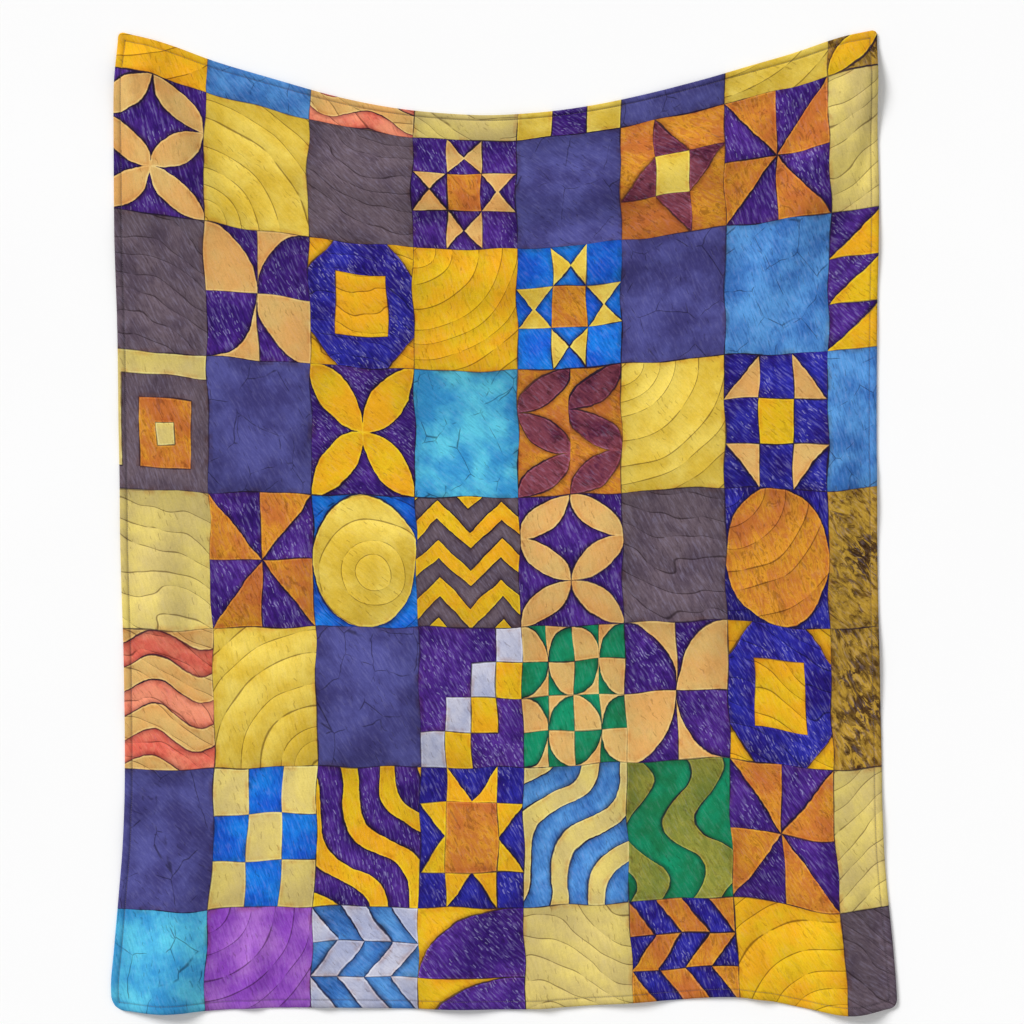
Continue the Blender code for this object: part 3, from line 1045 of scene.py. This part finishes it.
def dyed_patch_group(ticks):
    """One ink on fleece. It drifts from base to wash in soft pools, deeper at its block's edges and paler at
    one end. Grain breaks it into dapples, and brush strokes and a few pen ticks lean one way over it."""
    inputs = {
        "Place": "Vector", "Block": "Vector", "Seed": "Float", "Base": "Color", "Wash": "Color",
        "Hatch": "Float", "Grain": "Float",
    }
    tree, given, made = new_group("dyed_patch", inputs, {"Color": "Color"})
    place, block, seed, base, wash, hatch, grain = (given[name] for name in inputs)
    x, y, _ = parted(place)
    pools = noise(joined(x, y, seed), POOL_WAVES, 4.0, 0.6)
    colour = blended(rise(pools, 0.36, 0.66), base, wash)

    lean = maths("SINE", seed * 2.3) * 0.30 - 1.0
    along, across = turned(x, y, lean)
    swirls = noise(joined(along * SWIRL_WAVES[0], across * SWIRL_WAVES[1], seed), 1.0, 4.0, 0.70, 1.6)
    dark = blended(1.0, colour, DAPPLE_TINT, "MULTIPLY")
    colour = blended(rise(swirls, 0.50, 0.58) * grain, colour, wash)
    colour = blended(rise(swirls, 0.46, 0.38) * grain * DAPPLES_SHOW, colour, dark)

    brush = noise(joined(along * BRUSH_WAVES[0], across * BRUSH_WAVES[1], seed), 1.0, 2.0, 0.55)
    colour = blended(rise(brush, 0.50, 0.70) * hatch * PALE_STROKES_SHOW, colour, STROKE_PALE)
    colour = blended(rise(brush, 0.50, 0.32) * hatch * DARK_STROKES_SHOW, colour, STROKE_TINT, "MULTIPLY")
    pale_ticks = add_node("Group", place, seed, lean, *PALE_TICKS, node_tree=ticks)["Mask"]
    colour = blended(pale_ticks * rise(hatch, 0.50, 0.95) * PALE_TICKS_SHOW, colour, TICK_PALE)
    dark_ticks = add_node("Group", place, seed + 4.1, lean, *DARK_TICKS, node_tree=ticks)["Mask"]
    colour = blended(dark_ticks * DARK_TICKS_SHOW, colour, dark)

    over, up, _ = parted(block)
    from_edge = least(least(over, 1.0 - over) * 0.72, up, 1.0 - up)
    slope = (up - 0.5) * maths("SINE", seed * 1.7) * 0.26
    light = rise(from_edge, -0.03, 0.20) * 0.15 + slope + (pools - 0.5) * 0.35 + 0.87
    plug(made["Color"], scaled(colour, light))
    return tree


def figure_distance(tree, wobble):
    """How far inside its figure a point is, in metres, and below 0 in the ground. The bounds are a half
    square's diagonal, a quarter round's circle about its corner, a petal's two circles and a ribbon's two
    swaying edges, all moved by the wobble."""
    u, v, _ = parted(uv_place(tree, "piece_place"))
    size, sign = attribute(tree, "piece_size")
    width, length, _ = parted(size)
    kinds, is_ribbon = attribute(tree, "piece")
    is_half, is_round, is_petal = parted(kinds)
    band, pointed = attribute(tree, "ribbon")
    spacing, half_share, sway = parted(band)

    half = (1.0 - u - v) * width * length / hypotenuse(width, length)
    scale = maths("SQRT", width * length)
    quarter = (1.0 - hypotenuse(u, v)) * scale
    petal = (1.0 - maths("MAXIMUM", hypotenuse(1.0 - u, v), hypotenuse(u, 1.0 - v))) * scale

    round_wave = maths("SINE", v * (2 * math.pi))
    point_wave = maths("PINGPONG", v * 2.0 + 0.5, 1.0) * 2.0 - 1.0
    across = u + (round_wave + (point_wave - round_wave) * pointed) * sway
    ribbon = (half_share - abs(fraction(across) - 0.5)) * spacing

    edge = half * is_half + quarter * is_round + petal * is_petal + ribbon * is_ribbon
    shaped = is_half + is_round + is_petal + is_ribbon
    return (edge + (1.0 - shaped) * WHOLE_DEPTH) * sign + wobble * shaped


def seam_distance(tree, x, y):
    """How far a point is from its piece's nearest seam. Any other side counts as a metre further off."""
    width, length, _ = parted(attribute(tree, "piece_size")[0])
    sides, above = attribute(tree, "sides")
    left, right, below = parted(sides)
    from_left, from_below = fraction(x / width) * width, fraction(y / length) * length
    return least(
        from_left + (1.0 - left), width - from_left + (1.0 - right),
        from_below + (1.0 - below), length - from_below + (1.0 - above),
    )


def quilted_tone(tree, place, seed):
    """Thin dark lines and the soft tone between them, about 0: waves, arcs or rings an even spacing apart,
    which wander a little, or the crackle between odd cells."""
    lines, rings = attribute(tree, "lines")
    waves, arcs, crackle = parted(lines)
    arcs = arcs + rings
    lined = waves + arcs
    count, run, _ = parted(uv_place(tree, "line_place"))
    wander = noise(joined(count * 0.42, run * 1.6, seed), 1.0, 2.0, 0.45) - 0.5
    bend = maths("SINE", run * (2 * math.pi) + seed) * 0.50
    across = fraction(count + (bend + wander * 2.6) * waves + wander * arcs * 1.8)
    broken = noise(place, 26.0, 2.0, 0.6)
    weight = rise(broken, 0.44, 0.66) * 0.0009 + 0.0010
    off_line = least(across, 1.0 - across) * LINE_SPACING
    line = rise(off_line, weight, 0.0002) * rise(broken, 0.34, 0.46)
    tone = (across - 0.5) * (1.0 - line)

    x, y, _ = parted(place)
    warp = noise(place, 21.0) * 0.018
    cells = joined(x + warp, y * 0.8 - warp, seed)
    gap = add_node("TexVoronoi", cells, None, CRACKLE_CELLS, feature="DISTANCE_TO_EDGE")["Distance"]
    crack = rise(gap, 0.014, 0.002) * rise(broken, 0.44, 0.56)
    return line * lined + crack * crackle * 0.9, tone * lined


def painted_hem_shade(x, y):
    """Painted shade along the hem, as a factor on the colour: most in the groove at its stitches, and a
    little outside them, where the cloth is double."""
    edge = least(
        x - CUT_LEFT, CUT_LEFT + FLAT_WIDTH - x,
        y - CUT_BOTTOM, CUT_BOTTOM + FLAT_LENGTH - y,
    )
    groove = rise(abs(edge - STITCH_LINE), 0.0024, 0.0002)
    double = rise(edge, STITCH_LINE + 0.0005, STITCH_LINE - 0.0015)
    return 1.0 - groove * GROOVE_PAINTED_SHADE - double * HEM_PAINTED_SHADE


def printed_material(pile):
    """The printed face: two inks a patch, a wobbly dark outline round each patch with a thin pale rim inside
    it and a soft shade outside it, quilted lines, and fleece pile over all."""
    material, tree, inputs = new_material("printed_fleece", 0.9, 0.04)
    place = uv_place(tree, "print_place")
    x, y, _ = parted(place)
    distance = figure_distance(tree, (noise(place, 17.0, 4.0, 0.6) - 0.5) * WOBBLE)
    in_figure = maths("GREATER_THAN", distance, 0.0)
    _, _, seed = parted(attribute(tree, "piece_size")[0])
    seed = seed + in_figure * 13.7
    block = joined(fraction(x / BLOCK_WIDTH), fraction(y / BLOCK_LENGTH), 0.0)
    colours, numbers = [], []
    for ending in ("", "_wash"):
        ground, ground_number = attribute(tree, "ground" + ending)
        figure, figure_number = attribute(tree, "figure" + ending)
        colours.append(blended(in_figure, ground, figure))
        numbers.append(ground_number + (figure_number - ground_number) * in_figure)
    patch = dyed_patch_group(pen_ticks_group())
    colour = add_node("Group", place, block, seed, *colours, *numbers, node_tree=patch)["Color"]

    to_seam = seam_distance(tree, x, y)
    inside = least(abs(distance), to_seam)
    shade = rise(distance, *SHADE_REACH) * (1.0 - in_figure)
    burn = rise(inside, *BURN_REACH) * rise(noise(place, 31.0, 3.0, 0.6), 0.44, 0.62)
    lines, tone = quilted_tone(tree, place, seed)
    colour = blended(shade * SHADE_SHOWS, colour, SHADE_TINT, "MULTIPLY")
    colour = blended(burn * BURN_SHOWS, colour, BURN_TINT, "MULTIPLY")
    colour = scaled(colour, tone * TONE_SHOWS + 0.98)
    colour = blended(lines * LINES_SHOW, colour, QUILT_TINT, "MULTIPLY")

    pen = noise(place, 62.0, 2.0, 0.6) * 0.0018 + noise(place, 9.0, 2.0, 0.6) * 0.0046 - 0.0019
    rim = rise(inside, *RIM_REACH) * in_figure
    to_line = least(abs(distance + 0.0009), to_seam + 0.0004)
    firm = rise(noise(place, 5.0, 2.0, 0.6), 0.36, 0.60) * 0.40 + 0.56
    colour = blended(rim * RIM_SHOWS, colour, colour, "SCREEN")
    outline = rise(to_line - pen, OUTLINE_SOFT, -OUTLINE_SOFT) * firm
    colour = blended(outline, colour, linear(OUTLINE_INK))
    # The colour takes the hem's painted shade: darker in the stitched groove and on the band outside it.
    add_pile(inputs, pile, place, colour, painted_hem_shade(x, y), *PRINTED_FINISH)
    return material


def plain_material(pile):
    """The unprinted back: the fleece's own off-white, a little yellowed where its knit is looser."""
    material, tree, inputs = new_material("plain_fleece", 0.93, 0.15)
    place = uv_place(tree, "print_place")
    colour = blended(noise(place, 9.0, 3.0), *map(linear, BACK_INKS))
    add_pile(inputs, pile, place, colour, 1.0, *PLAIN_FINISH)
    return material


def add_throw():
    sheet = add_object("throw_sheet", throw_mesh())
    pile = fleece_pile_group()
    for material in (printed_material(pile), plain_material(pile)):
        sheet.data.materials.append(material)
    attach(sheet, "root")
    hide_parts("throw_blanket")
    return sheet


sheet = add_throw()


# The hem is held by one run of lockstitch in muted polyester thread, four straight runs that cross at the
# corners. Each stitch is a short bow of thread that dives into the fleece at both its ends.
STITCH_PITCH = 0.0034
STITCH_LENGTH = 0.0027
THREAD_RADIUS = 0.00028
STITCH_RINGS = 5
STITCH_SIDES = 6
BOW_HEIGHT = 0.00035
BOW_DIVE = 1.9
END_THICKNESS = 0.04
# The thread's colour in the painted shade and the painted light of its plies.
THREAD_PLY_LIGHT_AND_SHADE = ((92, 80, 96), (132, 118, 128))


def stitch_ends():
    """Where every stitch starts and stops, as shares of the cut: evenly along each of the four hems."""
    starts, stops = [], []
    for size, other, order in ((FLAT_WIDTH, FLAT_LENGTH, [0, 1]), (FLAT_LENGTH, FLAT_WIDTH, [1, 0])):
        count = int((size - 2 * STITCH_LINE) / STITCH_PITCH)
        along = np.linspace(STITCH_LINE, size - STITCH_LINE, count) / size
        half = STITCH_LENGTH / 2 / size
        for across in (STITCH_LINE / other, 1 - STITCH_LINE / other):
            for kept, offset in ((starts, -half), (stops, half)):
                kept.append(np.stack([along + offset, np.full_like(along, across)], axis=-1)[:, order])
    return np.concatenate(starts), np.concatenate(stops)


def stitch_mesh(name, on_face):
    """Every stitch as a small bowed capsule. Its middle line bows outwards by 1 less the square of the
    distance from its middle, and its radius is the root of 1 less that distance to the fourth."""
    ends = []
    for shares in stitch_ends():
        surface, normal = laid_surface(*strayed(*shares.T))
        lift = face_rise(*shares.T) if on_face else back_rise(*shares.T)
        ends.append(surface + normal * lift[:, None])
    start, stop = ends
    outwards = normal if on_face else -normal
    sideways = np.cross(outwards, stop - start)
    sideways /= np.linalg.norm(sideways, axis=1, keepdims=True)
    reach = np.linspace(-1, 1, STITCH_RINGS)[:, None]
    angle = np.arange(STITCH_SIDES)[:, None] / STITCH_SIDES * 2 * math.pi
    middle = (start + stop)[:, None] / 2 + (stop - start)[:, None] / 2 * reach
    middle += outwards[:, None] * BOW_HEIGHT * (1 - BOW_DIVE * reach**2)
    radius = THREAD_RADIUS * np.sqrt(np.clip(1 - reach**4, END_THICKNESS, 1))
    ring = sideways[:, None] * np.cos(angle) + outwards[:, None] * np.sin(angle)
    points = middle[:, :, None] + ring[:, None] * radius[:, None]

    number = np.arange(points[..., 0].size).reshape(points.shape[:3])
    following = np.roll(number, -1, axis=2)
    walls = np.stack([number[:, :-1], number[:, 1:], following[:, 1:], following[:, :-1]], axis=-1)
    caps = np.concatenate([number[:, 0], number[:, -1, ::-1]])
    mesh = new_mesh(name, points.reshape(-1, 3), walls.reshape(-1, 4).tolist() + caps.tolist())
    mesh.shade_smooth()
    return mesh


def thread_material():
    """Muted twisted thread, with a fine painted light and shade from its plies."""
    material, tree, inputs = new_material("hem_thread", 0.62, 0.1)
    plies = noise(add_node("TexCoord", tree=tree)["Object"], 1900.0, 1.0)
    plug(inputs["Base Color"], blended(plies, *map(linear, THREAD_PLY_LIGHT_AND_SHADE)))
    plug(inputs["Normal"], add_node("Bump", 0.4, 0.0001, None, plies)["Normal"])
    return material


def add_stitching(name, on_face, thread):
    piece = add_object(name, stitch_mesh(name, on_face))
    piece.data.materials.append(thread)
    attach(piece, "root")
    return piece


thread = thread_material()
stitching = [add_stitching("hem_stitching", True, thread), add_stitching("hem_stitching_back", False, thread)]
